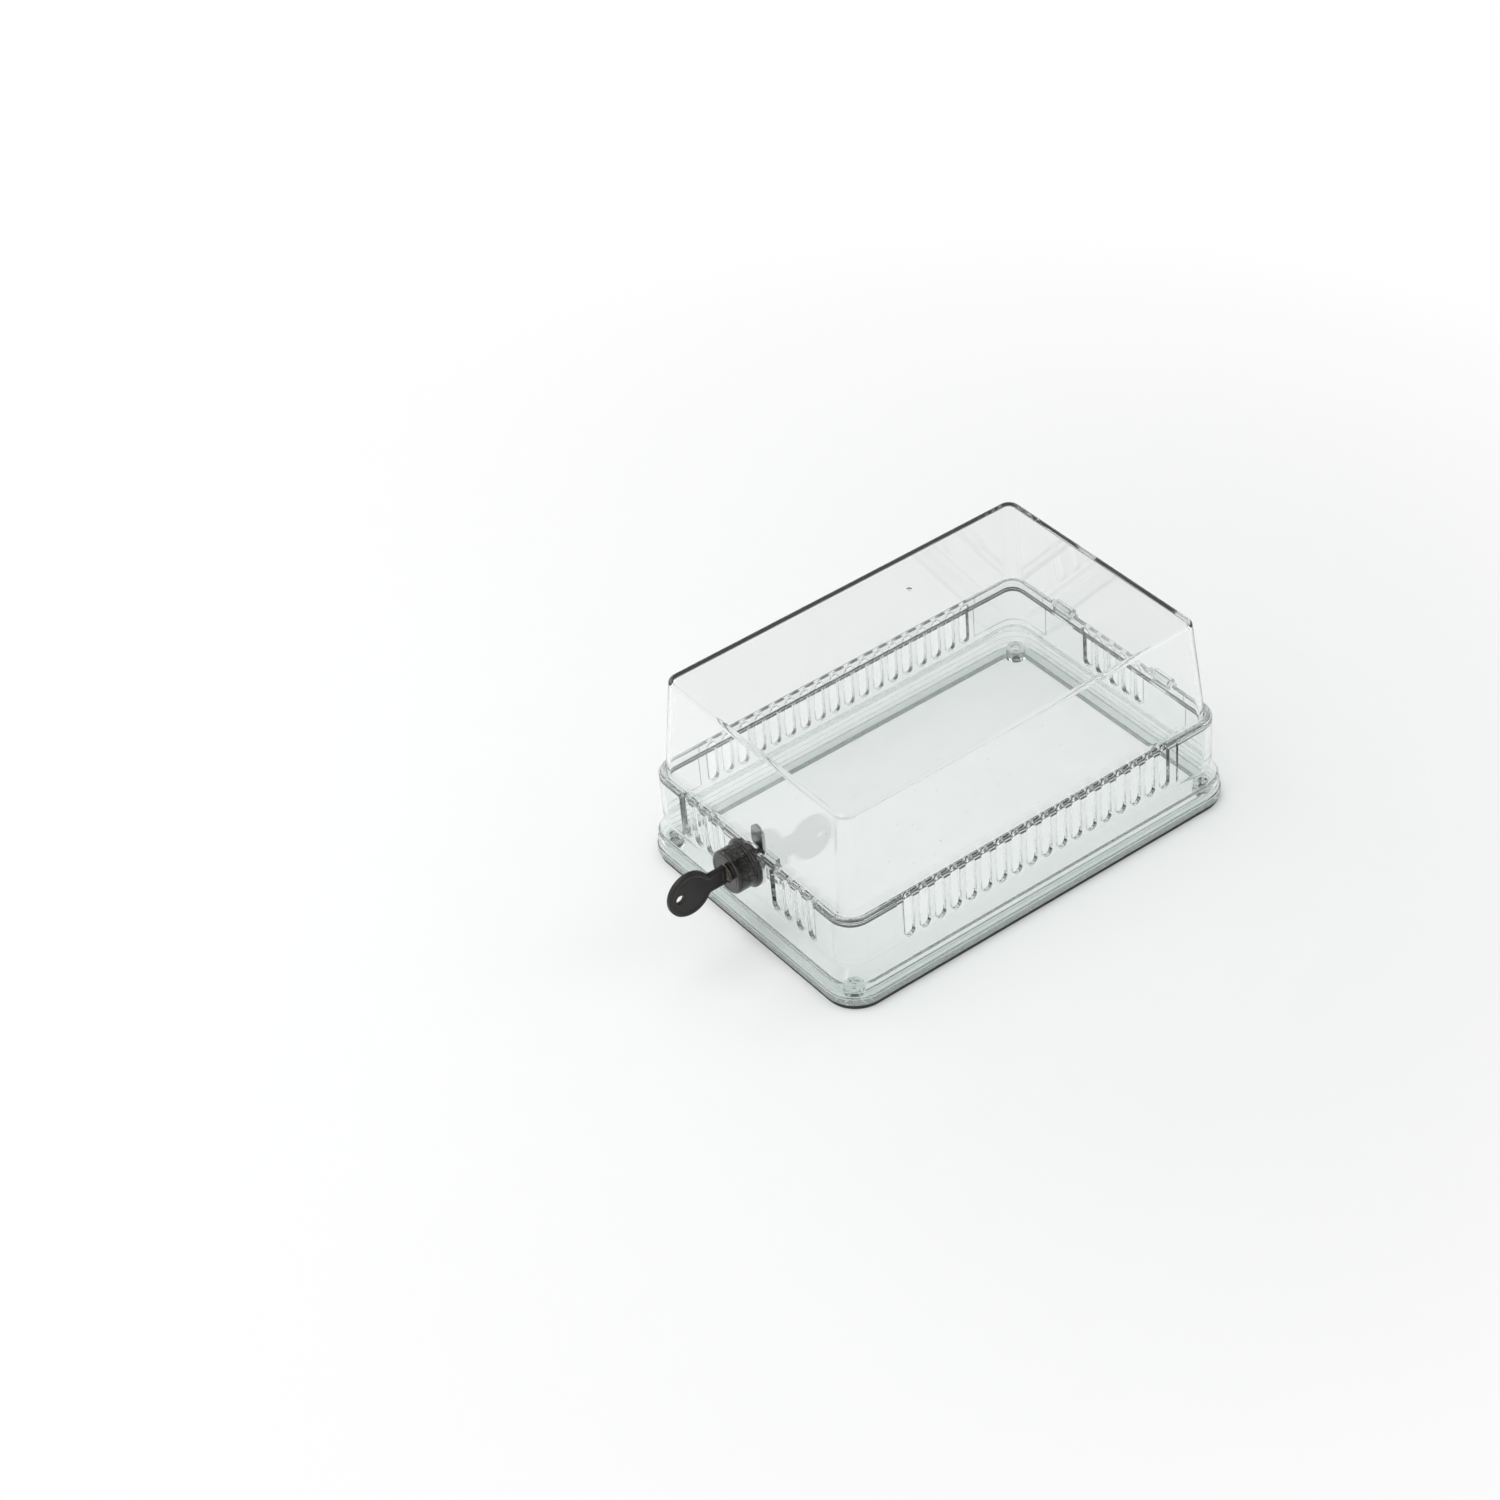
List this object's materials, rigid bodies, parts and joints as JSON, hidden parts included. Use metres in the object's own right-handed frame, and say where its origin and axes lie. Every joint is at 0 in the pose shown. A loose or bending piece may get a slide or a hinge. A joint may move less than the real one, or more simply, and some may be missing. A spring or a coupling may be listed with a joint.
{
  "type": "thermostat guard box",
  "caption": "Clear plastic thermostat lock box with vented base ring, opaque wall plate, hooked swing-up cover and a keyed cam lock.",
  "frame": {"origin": "centre of the four wall screw holes on the wall plate's wall face", "axes": "+Z out of the wall, +X along the guard away from the lock, Y across it"},
  "size_m": [0.2821, 0.1646, 0.107],
  "materials": {
    "clear_plastic": "polished clear moulded plastic",
    "plate_plastic": "fine texture",
    "lock_black": "gloss",
    "plug_black": "satin black",
    "key_black": "satin",
    "blade_steel": "nickel plated",
    "steel": "zinc plated",
    "brass": "stamped"
  },
  "bodies": {
    "base": {"wall_plate": "plate_plastic", "base_ring": "clear_plastic", "lock_body": "lock_black", "lock_trim": "lock_black", "lock_washer": "steel", "lock_nut": "steel"},
    "cover": {"cover": "clear_plastic", "catch": "clear_plastic"},
    "plug": {"lock_plug": "plug_black", "cam": "steel", "cam_washer": "steel", "cam_screw": "steel", "wafer_1": "brass", "wafer_2": "brass", "wafer_3": "brass", "wafer_4": "brass", "wafer_5": "brass", "wafer_spring_1": "steel", "wafer_spring_2": "steel", "wafer_spring_3": "steel", "wafer_spring_4": "steel", "wafer_spring_5": "steel"},
    "key": {"key_bow": "key_black", "key_blade": "blade_steel"}
  },
  "joints": [
    {"name": "cover_swing", "type": "hinge", "parent": "base", "child": "cover", "pos_m": [0.1145, 0, 0.0512], "axis": [0, 1, 0], "range_deg": [0, 90]},
    {"name": "key_turn", "type": "hinge", "parent": "base", "child": "plug", "pos_m": [-0.12, 0, 0.0415], "axis": [1, 0, 0], "range_deg": [0, 90]},
    {"name": "key_pull", "type": "slide", "parent": "plug", "child": "key", "axis": [-1, 0, 0], "range_m": [0, 0.03]}
  ]
}
